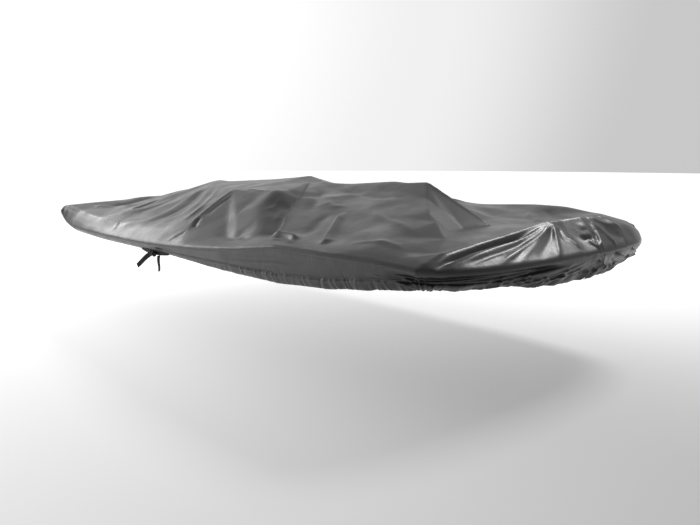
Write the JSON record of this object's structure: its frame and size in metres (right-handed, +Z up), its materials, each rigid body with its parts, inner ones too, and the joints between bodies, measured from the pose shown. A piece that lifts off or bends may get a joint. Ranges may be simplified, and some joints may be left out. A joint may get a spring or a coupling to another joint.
{
  "type": "boat cover",
  "caption": "Fitted grey fabric cover for a small open boat, held up in peaks and ridges, with a gathered elastic skirt and a knotted webbing tie.",
  "frame": {"origin": "the point under the crown where the boat's support post holds the cloth up, on the cloth's underside", "axes": "+X along the cover to the bow, +Y to its far side, +Z up"},
  "size_m": [3.615, 1.76, 0.512],
  "materials": {
    "top_cloth": "smooth coated cloth, semi-gloss",
    "skirt_cloth": "smooth coated cloth, satin",
    "webbing": "woven webbing, matt"
  },
  "bodies": {
    "root": {"top_panel": "top_cloth", "skirt": "skirt_cloth", "tie_band": "webbing", "tie_knot": "webbing", "tie_tail_long": "webbing", "tie_tail_short": "webbing"}
  },
  "joints": []
}
